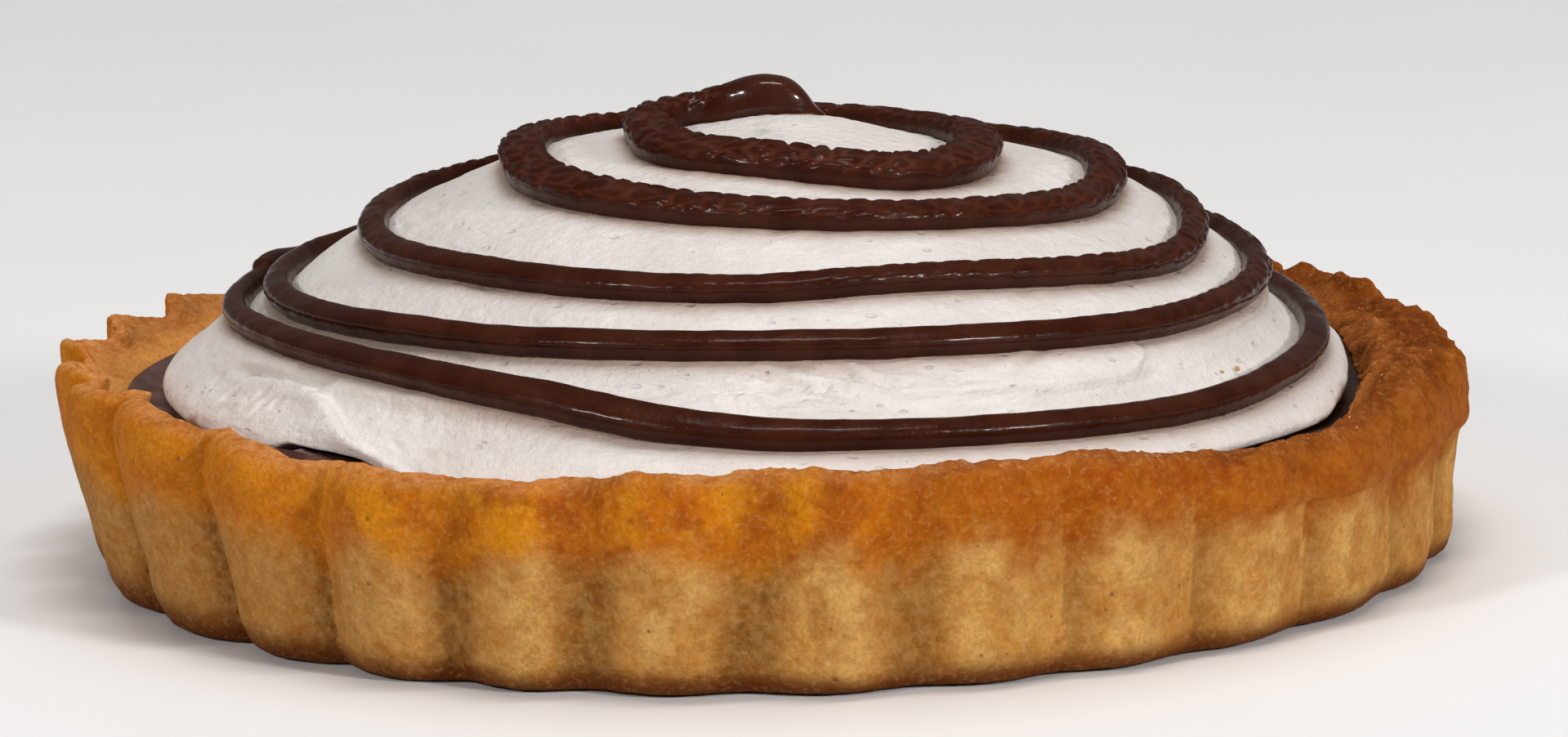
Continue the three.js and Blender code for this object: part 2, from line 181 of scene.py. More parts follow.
# ---- node trees
def operator(operation, turned=False):
    """What a Python operator does: it adds a Math node. Turned puts the other value first."""

    def added(self, other):
        return self.graph.calc(operation, *((other, self) if turned else (self, other)))

    return added


class Value:
    """What a socket puts out. A sum or a product with it adds the node that works it out."""

    def __init__(self, graph, socket):
        self.graph, self.socket = graph, socket

    __add__, __sub__, __mul__ = operator("ADD"), operator("SUBTRACT"), operator("MULTIPLY")
    __truediv__, __pow__ = operator("DIVIDE"), operator("POWER")
    __rsub__, __rtruediv__ = operator("SUBTRACT", True), operator("DIVIDE", True)


def linear(red, green, blue):
    """A colour as seen on a screen, 0 to 255, as the linear colour a shader needs."""
    return tuple((channel / 255) ** 2.2 for channel in (red, green, blue)) + (1.0,)


class Graph:
    """Adds nodes to a tree. Most methods give back the value that their node works out."""

    def __init__(self, tree):
        self.tree = tree

    def join(self, value, socket):
        if isinstance(value, Value):
            self.tree.links.new(value.socket, socket)
        else:
            socket.default_value = value

    def node(self, kind, inputs=None, **settings):
        made = self.tree.nodes.new(kind)
        for name, value in settings.items():
            setattr(made, name, value)
        for key, value in (inputs or {}).items():
            self.join(value, made.inputs[key])
        return made

    def value(self, kind, inputs=None, output=0, **settings):
        return Value(self, self.node(kind, inputs, **settings).outputs[output])

    def calc(self, operation, *values):
        return self.value("ShaderNodeMath", dict(enumerate(values)), operation=operation)

    def vector(self, operation, *values):
        inputs = dict(enumerate(values))
        if operation == "SCALE":
            inputs = {0: values[0], 3: values[1]}
        output = "Value" if operation == "LENGTH" else "Vector"
        return self.value("ShaderNodeVectorMath", inputs, output, operation=operation)

    def ease(self, value, low, high, to_low=0.0, to_high=1.0):
        inputs = {0: value, 1: low, 2: high, 3: to_low, 4: to_high}
        return self.value("ShaderNodeMapRange", inputs, interpolation_type="SMOOTHSTEP")

    def noise(self, place, scale, detail=2.0, roughness=0.5, distortion=0.0):
        inputs = {"Vector": place, "Scale": scale, "Detail": detail}
        inputs.update({"Roughness": roughness, "Distortion": distortion})
        return self.value("ShaderNodeTexNoise", inputs)

    def cells(self, place, spacing):
        """How far away the middle of a cell is, and three numbers drawn for each cell."""
        inputs = {"Vector": place, "Scale": 1 / spacing}
        made = self.node("ShaderNodeTexVoronoi", inputs).outputs
        return Value(self, made["Distance"]) * spacing, self.separate(Value(self, made["Color"]))

    def separate(self, place):
        parts = self.node("ShaderNodeSeparateXYZ", {0: place}).outputs
        return [Value(self, part) for part in parts]

    def combine(self, x, y, z):
        return self.value("ShaderNodeCombineXYZ", {0: x, 1: y, 2: z})

    def swept(self, x, y, length, climb):
        """A place that goes round the tart and up by climb, so that noise in it looks smeared."""
        way = self.vector("NORMALIZE", self.combine(x, y, 0.0))
        return self.vector("ADD", self.vector("SCALE", way, length), self.combine(0.0, 0.0, climb))


class Group(Graph):
    """A tree with named sockets: what is given to it by name, and the socket of its result."""

    def __init__(self, name, kind, carried, result, sizes):
        super().__init__(bpy.data.node_groups.new(name, kind))
        sockets = self.tree.interface
        sockets.new_socket(carried[0], in_out="INPUT", socket_type=carried[1])
        sockets.new_socket(result[0], in_out="OUTPUT", socket_type=result[1])
        for label, size in sizes.items():
            label = label.replace("_", " ")
            made = sockets.new_socket(label, in_out="INPUT", socket_type="NodeSocketFloat")
            made.default_value = size
        given = self.tree.nodes.new("NodeGroupInput").outputs
        self.given = {socket.name: Value(self, socket) for socket in given}
        self.result = self.tree.nodes.new("NodeGroupOutput").inputs[0]

    def done(self, value):
        self.join(value, self.result)
        return self.tree


# Shader groups that several of the materials share.
def shader_group(name, result, **sizes):
    carried, result = ("Place", "NodeSocketVector"), (result, "NodeSocketFloat")
    return Group(name, "ShaderNodeTree", carried, result, sizes)


def mottle_group():
    """A soft patchy mask: 1 where the noise is above High, 0 where it is below Low."""
    group = shader_group("Mottle", "Mask", Size=1.0, Low=0.4, High=0.6)
    given = group.given
    raw = group.noise(given["Place"], 1 / given["Size"], 3.0, 0.55)
    return group.done(group.ease(raw, given["Low"], given["High"]))


def specks_group():
    """Scattered round specks: Spacing between cells, Size of a speck, and Share of cells filled."""
    group = shader_group("Specks", "Mask", Spacing=1.0, Size=0.2, Share=0.5)
    given = group.given
    apart, draw = group.cells(given["Place"], given["Spacing"])
    filled = group.calc("LESS_THAN", draw[0], given["Share"])
    wide = given["Size"] * (draw[1] + 0.5)
    return group.done(group.ease(apart, wide, wide * 0.4) * filled)


def grain_group():
    """Fine relief in millimetres, about 1 unit of Depth high, rougher with more Fineness."""
    group = shader_group("Grain", "Height", Size=1.0, Depth=0.1, Fineness=0.5)
    given = group.given
    raw = group.noise(given["Place"], 1 / given["Size"], 5.0, given["Fineness"])
    return group.done((raw - 0.5) * given["Depth"])


MOTTLE = mottle_group()
SPECKS = specks_group()
GRAIN = grain_group()


class Finish(Graph):
    """A material whose patterns are measured in millimetres on the object."""

    def __init__(self, name):
        self.material = bpy.data.materials.new(name)
        self.material.use_nodes = True
        super().__init__(self.material.node_tree)
        self.shader = self.tree.nodes["Principled BSDF"]
        coordinates = self.value("ShaderNodeTexCoord", output="Object")
        self.place = self.vector("SCALE", coordinates, 1 / MM)

    def group(self, tree, place, **inputs):
        made = self.node("ShaderNodeGroup", node_tree=tree)
        for key, value in {"Place": place or self.place, **inputs}.items():
            self.join(value, made.inputs[key])
        return Value(self, made.outputs[0])

    def patches(self, size, low, high, place=None):
        return self.group(MOTTLE, place, Size=size, Low=low, High=high)

    def specks(self, spacing, size, share, place=None):
        return self.group(SPECKS, place, Spacing=spacing, Size=size, Share=share)

    def grain(self, size, depth, fineness, place=None):
        return self.group(GRAIN, place, Size=size, Depth=depth, Fineness=fineness)

    def tint(self, share, first, second):
        """The first colour with a share of the second. Plain colours are as seen on a screen."""
        inputs = {0: share}
        for socket, colour in ((6, first), (7, second)):
            inputs[socket] = colour if isinstance(colour, Value) else linear(*colour)
        return self.value("ShaderNodeMix", inputs, 2, data_type="RGBA")

    def layered(self, colour, *coats):
        """A colour with coats over it, each one a share and a colour."""
        for share, coat in coats:
            colour = self.tint(share, colour, coat)
        return colour

    def measured(self, name):
        return self.value("ShaderNodeAttribute", output="Fac", attribute_name=name)

    def bump(self, height):
        inputs = {"Height": height, "Distance": MM, "Strength": 1.0}
        self.set(Normal=self.value("ShaderNodeBump", inputs))

    def set(self, **values):
        for name, value in values.items():
            self.join(value, self.shader.inputs[name.replace("_", " ")])
        return self.material


def crust_finish():
    finish = Finish("baked shortcrust")
    tint, ease, patches = finish.tint, finish.ease, finish.patches
    x, _, z = finish.separate(finish.place)
    valley, lobe = finish.measured("crease_shade"), finish.measured("lobe")
    top, inner = finish.measured("top"), finish.measured("inner")
    thick, left = ease(x, -20.0, 54.0), ease(x, -8.0, -56.0)

    waves = finish.noise(finish.place, 0.13, 3.0, 0.6)
    browned_height = z + waves * 10.0 + ease(x, 25.0, 58.0, 0.0, 2.6) + valley * 2.0
    browned = finish.calc("MAXIMUM", ease(browned_height, 14.6, 19.6), inner)
    foot = ease(z + waves * 2.4, ease(x, -20.0, -55.0, 4.1, 5.8), 1.9)

    soft, fine = patches(5.0, 0.38, 0.66), patches(1.1, 0.3, 0.7)
    # Painted shade in the flute valleys, over the greyer tone that the valleys have; it also lets
    # the browned band reach lower there.
    crease_tone_and_shade = ease(valley, 0.25, 0.95) * ease(x, 28.0, -2.0, 0.45, 0.8)
    doughy = patches(4.2, 0.42, 0.6) * ease(lobe, 0.35, 0.95) * ease(x, -58.0, -20.0, 0.2, 0.58)
    scorched, toasted = patches(2.6, 0.5, 0.64), patches(1.5, 0.48, 0.62)
    tan = finish.layered(
        tint(soft, (192, 129, 57), (210, 149, 74)),
        (doughy, (230, 182, 106)),
        (left * 0.8, (164, 108, 50)),
        (crease_tone_and_shade, (102, 60, 8)),
        (scorched * 0.5, (168, 102, 38)),
        (toasted * 0.34, (158, 100, 40)),
        (fine * 0.24, (234, 186, 116)),
    )
    red = patches(3.6, 0.46, 0.62) * ease(x, -46.0, -12.0, 0.35, 0.85)
    band = finish.layered(
        tint(soft, (198, 106, 2), (218, 136, 12)),
        (left * 0.6, (198, 114, 22)),
        (ease(x, 2.0, 18.0, 0.0, 0.85), (160, 76, 1)),
        (red, (158, 70, 2)),
        (ease(x, 30.0, 58.0) * 0.7, (146, 74, 22)),
        (crease_tone_and_shade * 0.55, (136, 66, 6)),
        (fine * 0.18, (234, 156, 54)),
    )
    crown = tint(thick * 0.95, tint(fine, (198, 116, 54), (228, 156, 96)), (118, 54, 14))
    deep = tint(thick, (252, 170, 86), (196, 114, 54))
    sandy = patches(0.36, 0.3, 0.7)
    bright = patches(0.5, 0.5, 0.72) * ease(top, 0.0, 1.0, 0.2, 0.46)
    dark, pale = finish.specks(2.0, 0.17, 0.45), finish.specks(1.4, 0.12, 0.25)
    colour = finish.layered(
        tint(browned, tan, band),
        (top * 0.75, crown),
        (inner * 0.85, deep),
        (foot * 0.9, (94, 42, 5)),
        (sandy * 0.24, (104, 58, 16)),
        (bright * ease(x, 25.0, 50.0, 1.0, 0.45), (226, 168, 104)),
        # Painted shade in the hollows of the crags, and a painted highlight on their raised bits.
        (finish.measured("pit_shade") * 0.5, (92, 38, 6)),
        (finish.measured("crag_highlight") * 0.3, (226, 150, 84)),
        (dark * 0.6, (92, 58, 24)),
        (pale * 0.15, (232, 188, 124)),
    )
    coarse, sand = finish.grain(1.8, 0.7, 0.66), finish.grain(0.34, 0.2, 0.6)
    finish.bump(coarse + sand - dark * 0.1 + pale * 0.05)
    return finish.set(Base_Color=colour, Roughness=0.78 - pale * 0.35, Specular_IOR_Level=0.1)


def cream_finish():
    finish = Finish("whipped cream")
    patches, specks = finish.patches, finish.specks
    x, y, z = finish.separate(finish.place)
    out = finish.vector("LENGTH", finish.combine(x, y, 0.0))
    swept = finish.swept(x, y, 18.0, out * 1.1 - z * 1.1)
    fine = patches(1.6, 0.35, 0.7, swept)
    pits, small_pits = specks(3.1, 0.16, 0.08), specks(1.2, 0.12, 0.22)
    dragged = finish.vector("MULTIPLY", finish.place, (0.42, 0.42, 1.3))
    nicks = specks(0.9, 0.2, 0.3, dragged)
    colour = finish.layered(
        finish.tint(patches(11.0, 0.35, 0.65), (227, 218, 212), (237, 230, 225)),
        (fine * 0.22, (208, 198, 188)),
        (patches(0.45, 0.42, 0.66) * 0.14, (200, 186, 174)),
        # Painted shade in the pits: their colour is darkened as well as their surface sunk.
        (finish.calc("MAXIMUM", pits, small_pits) * 0.3, (170, 158, 144)),
        # Painted shadow under the rope, together with a warm bleed of cocoa from it.
        (finish.measured("rope_shadow_and_bleed") * 0.7, (166, 130, 104)),
        (finish.measured("cocoa"), (150, 86, 56)),
        # Painted shade in the nicks: their colour is darkened as well as their surface sunk.
        (nicks * 0.12, (172, 154, 140)),
    )
    dry = patches(6.0, 0.46, 0.64)
    smear = finish.grain(1.8, dry * 0.3 + 0.12, 0.5, swept)
    froth = finish.grain(1.3, 0.34, 0.66)
    finish.bump(smear + froth - nicks * 0.16 - pits * 0.2 - small_pits * 0.08)
    return finish.set(
        Base_Color=colour,
        Roughness=finish.ease(fine, 0.0, 1.0, 0.42, 0.56),
        Subsurface_Weight=0.12,
        Subsurface_Radius=(1.0, 0.85, 0.7),
        Subsurface_Scale=0.6 * MM,
        Specular_IOR_Level=0.35,
    )


def rope_finish():
    finish = Finish("glossy piped chocolate")
    plain = finish.tint(finish.patches(4.0, 0.35, 0.65), (54, 25, 14), (66, 34, 22))
    # Painted highlight on the ridges between the dimples: they get a lighter brown.
    ridge_highlight = finish.ease(finish.measured("raised"), -0.05, 0.4)
    bubbles = finish.specks(1.3, 0.1, 0.12)
    finish.bump(finish.grain(0.9, 0.1, 0.55) - bubbles * 0.05)
    return finish.set(
        Base_Color=finish.tint(ridge_highlight * 0.3, plain, (112, 60, 44)),
        Roughness=finish.ease(finish.patches(2.5, 0.3, 0.7), 0.0, 1.0, 0.2, 0.34),
        Specular_IOR_Level=0.1,
        Coat_Weight=finish.ease(finish.measured("smooth_start"), 0.0, 1.0, 0.11, 0.5),
        Coat_Roughness=0.08,
    )


def filling_finish():
    finish = Finish("set dark chocolate")
    x = finish.separate(finish.place)[0]
    plain = finish.tint(finish.patches(3.0, 0.35, 0.65), (76, 50, 45), (104, 74, 66))
    finish.bump(finish.grain(0.9, 0.1, 0.5))
    return finish.set(
        # Painted shade: the filling darkens from x -20 mm to x 10 mm, towards the deep gap at the
        # right.
        Base_Color=finish.tint(finish.ease(x, -20.0, 10.0), plain, (40, 24, 18)),
        Roughness=finish.ease(finish.measured("wet"), 0.0, 1.0, 0.38, 0.1),
    )


def grain_finish(name, patch_size, first, second, relief, roughness):
    """Two soft tones and a fine relief, for small loose grains."""
    finish = Finish(name)
    finish.bump(finish.grain(*relief))
    colour = finish.tint(finish.patches(patch_size, 0.35, 0.65), first, second)
    return finish.set(Base_Color=colour, Roughness=roughness)


# ---- shape helpers
def hermite(knots, values, at, columns=None):
    """A smooth curve through values at knots. columns picks each place's own set of values."""
    knots = np.asarray(knots, float)
    values = np.asarray(values, float)
    slopes = np.gradient(values, knots, axis=0)
    segment = np.clip(np.searchsorted(knots, at, side="right") - 1, 0, len(knots) - 2)
    width = knots[segment + 1] - knots[segment]
    share = np.clip((at - knots[segment]) / width, 0, 1)
    key = (segment,) if columns is None else (segment, columns)
    after = (segment + 1, *key[1:])
    spare = (..., *[None] * (values[key].ndim - share.ndim))
    share, width = share[spare], width[spare]
    square, cube = share**2, share**3
    return (
        (2 * cube - 3 * square + 1) * values[key]
        + (cube - 2 * square + share) * width * slopes[key]
        + (3 * square - 2 * cube) * values[after]
        + (cube - square) * width * slopes[after]
    )


def rings_of(knots, control, at):
    """Rings of points at these places along the curves through control."""
    return hermite(knots, control, at[:, None], np.arange(control.shape[1])[None, :])


def knots_of(control):
    """Knots for the rows of control, spaced by their average distance, in millimetres."""
    steps = np.linalg.norm(np.diff(control, axis=0), axis=-1).mean(axis=1)
    return np.concatenate([[0], np.cumsum(steps)])


def ramp(value, low, high):
    """0 at low, 1 at high and a smooth climb between them. High may be the smaller one."""
    share = np.clip((value - low) / (high - low), 0, 1)
    return share * share * (3 - 2 * share)


def window(value, low, high, fall, end):
    """A smooth climb from low to high, and a smooth fall from fall to end."""
    return ramp(value, low, high) * ramp(value, end, fall)


def bell(value, middle, spread):
    return np.exp(-(((value - middle) / spread) ** 2))


def once_round(count):
    """This many angles, evenly once round."""
    return np.arange(count) / count * FULL_TURN


def round_trip(degrees):
    """The same angle between -180 and 180 degrees."""
    return (degrees + 180) % 360 - 180


def placed(name, data):
    """A new object in the scene that shows this data."""
    made = bpy.data.objects.new(name, data)
    bpy.context.scene.collection.objects.link(made)
    return made


def piece_from(name, points, faces=(), measures=None):
    """A mesh object from points in millimetres. Each measure is a named number at every point."""
    mesh = bpy.data.meshes.new(name)
    mesh.from_pydata((np.asarray(points) * MM).tolist(), [], faces)
    mesh.shade_smooth()
    for label, values in (measures or {}).items():
        layer = mesh.attributes.new(label, "FLOAT", "POINT")
        layer.data.foreach_set("value", np.ascontiguousarray(values, np.float32))
    return placed(name, mesh)


def outline(turns, rows):
    """Rows of radius and height, each one number or one number for every turn."""
    return np.array([np.stack(np.broadcast_arrays(*row, turns)[:2], axis=-1) for row in rows])


def turned_faces(rows, columns):
    """Faces of rings from the underside to the top, closed at both ends by a middle point."""
    index = np.arange(rows * columns).reshape(rows, columns)
    after = np.roll(index, -1, axis=1)
    quads = np.stack([index[:-1], after[:-1], after[1:], index[1:]], axis=-1).reshape(-1, 4)
    first, last = rows * columns, rows * columns + 1
    under = [[first, b, a] for a, b in zip(index[0], after[0])]
    over = [[last, a, b] for a, b in zip(index[-1], after[-1])]
    return quads.tolist() + under + over


def closed_piece(name, rings, ends, measures, inside_out=False):
    """A piece from rings of points, closed by a middle point at each end, where measures are 0."""
    shape = rings.shape[:2]
    measures = {
        label: np.append(np.broadcast_to(values, shape), [0, 0])
        for label, values in measures.items()
    }
    points = np.concatenate([rings.reshape(-1, 3), ends])
    faces = turned_faces(*shape)
    return piece_from(name, points, [f[::-1] for f in faces] if inside_out else faces, measures)


def turned(radius, turns, height):
    return np.stack([radius * np.sin(turns), -radius * np.cos(turns), height], axis=-1)


def turned_piece(name, profile, turns, measures):
    """A piece turned round the middle from rings of radius and height."""
    radius, height = profile[..., 0], profile[..., 1]
    ends = [[0, 0, height[0].mean()], [0, 0, height[-1].mean()]]
    return closed_piece(name, turned(radius, turns, height), ends, measures)


def grown(piece, tree, **values):
    """Runs a geometry tree on a piece and keeps the result as its plain mesh."""
    modifier = piece.modifiers.new(tree.name, "NODES")
    modifier.node_group = tree
    for item in tree.interface.items_tree:
        if item.in_out == "INPUT" and item.name in values:
            modifier[item.identifier] = values[item.name]
    depsgraph = bpy.context.evaluated_depsgraph_get()
    mesh = bpy.data.meshes.new_from_object(
        piece.evaluated_get(depsgraph), preserve_all_data_layers=True, depsgraph=depsgraph
    )
    piece.modifiers.remove(modifier)
    rough, piece.data = piece.data, mesh
    bpy.data.meshes.remove(rough)
    mesh.name = piece.name
    return piece


class Growth(Group):
    """A geometry tree that moves the points of the mesh it is given."""

    def __init__(self, name, **sizes):
        carried = ("Geometry", "NodeSocketGeometry")
        super().__init__(name, "GeometryNodeTree", carried, carried, sizes)
        self.geometry = self.given["Geometry"]
        self.place = self.vector("SCALE", self.value("GeometryNodeInputPosition"), 1 / MM)
        self.normal = self.value("GeometryNodeInputNormal")

    def measured(self, name):
        kind, inputs = "GeometryNodeInputNamedAttribute", {"Name": name}
        return self.value(kind, inputs, "Attribute", data_type="FLOAT")

    def keep(self, name, value):
        kind = "GeometryNodeStoreNamedAttribute"
        inputs = {"Geometry": self.geometry, "Name": name, "Value": value}
        self.geometry = self.value(kind, inputs, data_type="FLOAT", domain="POINT")

    def move(self, offset):
        """Moves every point by an offset in millimetres."""
        inputs = {"Geometry": self.geometry, "Offset": self.vector("SCALE", offset, MM)}
        self.geometry = self.value("GeometryNodeSetPosition", inputs)

    def raise_by(self, height):
        self.move(self.vector("SCALE", self.normal, height))

    def relief(self, size, depth, detail=3.0, roughness=0.55, seed=0.0):
        """Noise in millimetres, up and down by about half of depth."""
        shifted = self.vector("ADD", self.place, self.combine(seed, seed, seed))
        return (self.noise(shifted, 1 / size, detail, roughness) - 0.5) * depth

    def draws(self, number):
        """One random number and three more for every number, by the tree's seed."""
        inputs = {"Vector": self.combine(number, self.given["Seed"], 0.0)}
        made = self.node("ShaderNodeTexWhiteNoise", inputs)
        return [Value(self, socket) for socket in made.outputs]

    def finish(self, material, smooth=True):
        real = self.value("GeometryNodeRealizeInstances", {"Geometry": self.geometry})
        inputs = {"Geometry": real, "Shade Smooth": smooth}
        shaded = self.value("GeometryNodeSetShadeSmooth", inputs)
        inputs = {"Geometry": shaded, "Material": material}
        return self.done(self.value("GeometryNodeSetMaterial", inputs))


# ---- pastry case
def case_shape(turn):
    """The columns of CASE_SHAPE at these turns, in degrees."""
    table = np.array(CASE_SHAPE)
    return hermite(table[:, 0], table[:, 1:], round_trip(turn)).T


def flute_lines():
    """Turns of all the valleys at the rim and at the foot, once round, in degrees."""
    first, last = VALLEYS[0][0] + 360, VALLEYS[-1][0]
    back = [last + (first - last) * k / BACK_FLUTES for k in range(1, BACK_FLUTES + 1)]
    return np.array(VALLEYS + [(turn, turn) for turn in back]).T


CASE_COLUMNS = 1000
CASE_STEP = 0.42
# Where the wall's inside meets the filling.
LEDGE_HEIGHT = 14.2
# At the left each lobe's rim starts high at its front end and falls to its back end by this much.
TOOTH_STEP = 2.3


def case_piece():
    turns = once_round(CASE_COLUMNS) + math.radians(VALLEYS[0][0])
    degrees = np.degrees(turns)
    turn = round_trip(degrees)
    crest = hermite(*np.array(RIM_CREST).T, turn)
    dip, depth, softness, inside, inset, rounding, flat, rough = case_shape(degrees)

    def outside(height):
        share = height / WIDEST_HEIGHT
        lean = RIM_LEAN * np.sin(turns) * (0.5 - share)
        tuck = 0.5 * bell(turn, 88, 26) * bell(height, 8, 4.5)
        return BASE_RADIUS + (CASE_RADIUS - BASE_RADIUS) * share + lean - tuck

    wide = outside(WIDEST_HEIGHT)
    crest_radius = wide - inset
    slope = crest - LEDGE_HEIGHT
    across = crest_radius - inside
    control = outline(turns, [
        (outside(0) - 1.9, 0),
        (outside(0) - 0.5, 0.5),
        (outside(2), 2),
        (outside(6), 6),
        (outside(10.5), 10.5),
        (wide, crest - 1.5 * rounding - 0.5),
        (wide - 0.3 * rounding, crest - 0.65 * rounding),
        (wide - 0.75 * rounding, crest - 0.22 * rounding),
        (crest_radius, crest),
        (inside + 0.62 * across, crest - (0.38 - 0.22 * flat) * slope),
        (inside + 0.25 * across, crest - (0.72 - 0.34 * flat) * slope),
        (inside, LEDGE_HEIGHT),
        (inside - 0.5, 10),
        (FLOOR_EDGE_RADIUS - 0.6, FLOOR_THICKNESS),
    ])
    knots = knots_of(control)
    wall_top, bend, shoulder, peak, inner_top, inner_low, ledge, _, floor_edge = knots[5:]
    hidden = np.linspace(ledge, floor_edge, 5)
    at = np.concatenate([np.arange(0, ledge, CASE_STEP), hidden])
    profile = rings_of(knots, control, at)
    under = np.stack([profile[0] * [share, 1] for share in (0.3, 0.6, 0.85)])
    floor = np.stack([profile[-1] * [share, 1] for share in (0.75, 0.4)])
    profile = np.concatenate([under, profile, floor])
    along = np.concatenate([[-3, -2, -1], at, [floor_edge + 1, floor_edge + 2]])[:, None]

    rim_lines, foot_lines = flute_lines()
    numbers = np.arange(len(rim_lines))
    height = np.clip(profile[..., 1] / STRAIGHT_HEIGHT, 0, 1)
    spread = np.broadcast_to(degrees, height.shape)
    flute_rim = np.interp(spread, rim_lines, numbers)
    flute_foot = np.interp(spread, foot_lines, numbers)
    flute = flute_foot + (flute_rim - flute_foot) * height
    flute = np.where(spread >= rim_lines[-1], numbers[-1], flute)

    fade_from = peak + 0.2 - (peak - wall_top + 5.0) * flat
    fade_to = inner_low - 0.8 - (inner_low - peak - 0.6) * flat
    outer = depth * ramp(along, fade_to, fade_from) * ramp(along, -1.5, 0.5)
    rising = ramp(along, wall_top - 1, shoulder)
    on_rim = rising * ramp(along, inner_low, peak)
    wander = 0.5 * np.sin(np.radians(turn) * 17) + 0.35 * np.sin(np.radians(turn) * 41 + 1)
    ridge_at = bend + 0.9 + wander
    ridge = bell(along, ridge_at, 0.5) - 0.8 * bell(along, ridge_at + 1.0, 0.55)
    ridge *= window(turn, -40, -15, 52, 70)
    measures = {
        "flute": flute,
        "softness": softness,
        "roundness": 0.42 + softness,
        "outer": outer,
        "dip": dip * on_rim,
        "tilt": TOOTH_STEP * bell(turn, -110, 30) * on_rim,
        "ridge": 0.4 * ridge,
        "top": ramp(along, bend - 0.2, shoulder + 0.8),
        "inner": ramp(along, inner_top - 1.0, inner_low + 0.6),
        "rough": 0.35 + 1.5 * rough * rising,
        "shown": (along > 0) * (along < ledge + 1),
    }
    return turned_piece("pastry_case", profile, turns, measures)


def case_tree(material):
    growth = Growth(
        "Fluted case", Unevenness=0.35, Lump_depth=0.75, Crumb_depth=0.62, Crag_depth=3.4, Seed=3.0
    )
    size, measured, ease, calc = growth.given, growth.measured, growth.ease, growth.calc
    flute, softness, rough = measured("flute"), measured("softness"), measured("rough")
    outer, shown = measured("outer"), measured("shown")
    half = measured("roundness") * 0.5
    wave = calc("SINE", flute * math.pi)
    least = softness * softness
    low, high = least**half, (least + 1.0) ** half
    lobe = ((wave * wave + least) ** half - low) / (high - low)
    valley = 1.0 - lobe
    number = calc("FLOOR", flute)
    share = flute - number - 0.5
    x, y, _ = growth.separate(growth.place)
    # The crease measure is painted shade: strongest where the next lobe hides the valley, weaker on
    # the right where the right-hand lamp lights the flute.
    sheltered = 1.0 - ease(x, -22.0, -44.0) * ease(share, 0.1, -0.35)
    lit = 1.0 - ease(x, 5.0, 30.0) * ease(share, 0.1, 0.4) * 0.9
    growth.keep("crease_shade", valley * sheltered * lit)
    growth.keep("lobe", lobe)

    uneven = (growth.draws(number)[0] - 0.5) * size["Unevenness"]
    away = growth.vector("NORMALIZE", growth.combine(x, y, 0.0))
    sideways = growth.vector("SCALE", away, lobe * uneven * outer - valley * outer)
    upward = share * ease(valley, 0.95, 0.6) * measured("tilt") - valley * measured("dip")
    growth.move(growth.vector("ADD", sideways, growth.combine(0.0, 0.0, upward)))

    lumps = growth.relief(4.5, size["Lump depth"], 2.0, 0.5, size["Seed"])
    crumbs = growth.relief(1.5, size["Crumb depth"], 4.0, 0.7)
    stretched = growth.vector("MULTIPLY", growth.place, (1.1, 0.85, 1.0))
    crags = calc("ABSOLUTE", growth.noise(stretched, 0.5, 4.0, 0.62, 0.5) - 0.5) - 0.12
    crags = crags * size["Crag depth"] * (ease(rough, 1.6, 2.5) * shown)
    total = (lumps + crumbs) * (rough * shown) + crags
    bold = ease(rough, 0.5, 1.6)
    # Masks for painted shade in the hollows of the relief and a painted highlight on its raised
    # bits, on the rough rim.
    growth.keep("pit_shade", ease(total, 0.02, -0.42) * bold)
    growth.keep("crag_highlight", ease(total, 0.1, 0.5) * bold)
    growth.raise_by(total + measured("ridge"))
    return growth.finish(material)


# ---- chocolate filling
FILLING_COLUMNS = 480
FILLING_STEP = 0.45


def filling_piece():
    turns = once_round(FILLING_COLUMNS)
    turn = round_trip(np.degrees(turns))
    edge = case_shape(turn)[3] + 0.1
    gap, sag = bell(turn, -46, 9), 0.6 * bell(turn, 85, 30)
    level = FILLING_LEVEL - sag
    rise = 0.7 + 1.5 * gap - sag
    control = outline(turns, [
        (FLOOR_EDGE_RADIUS - 0.4, FLOOR_THICKNESS + 0.3),
        (edge - 1.0, 10),
        (edge, level + rise),
        (edge - 0.9, level + 0.55 * rise + 0.5 * gap),
        (edge - 2.2, level + 1.6 * gap),
        (edge - 5.0, level + gap),
        (edge - 9.0, FILLING_LEVEL),
    ])
    knots = knots_of(control)
    start, side, rim = knots[:3]
    at = np.concatenate([[start, side], np.arange(rim, knots[-1], FILLING_STEP)])
    profile = rings_of(knots, control, at)
    seen = ramp(at, rim - 0.2, rim + 1.0)[:, None]
    return turned_piece("dark_filling", profile, turns, {"shown": seen, "wet": seen * gap})


def filling_tree(material):
    growth = Growth("Set filling", Ripple_depth=0.35, Wave_depth=1.1, Seed=9.0)
    size = growth.given
    ripples = growth.relief(2.6, size["Ripple depth"], 2.0, 0.5, size["Seed"])
    waves = growth.relief(1.3, size["Wave depth"], 2.0, 0.5) * growth.measured("wet")
    growth.raise_by((ripples + waves) * growth.measured("shown"))
    return growth.finish(material)


# ---- cream dome
def back_fullness(radius, turn):
    """How much higher the cream is behind its middle than in front, in millimetres."""
    side, back = np.sin(np.radians(turn)), -np.cos(np.radians(turn))
    rightward = ramp(side, -0.6, 0.6)
    left, right = CREAM_BACK
    amount = left + (right - left) * rightward
    out = ramp(radius, 8 + 8 * rightward, 22 + 10 * rightward)
    return amount * ramp(back, -0.35, 0.4) * out * ramp(radius, 48, 34)


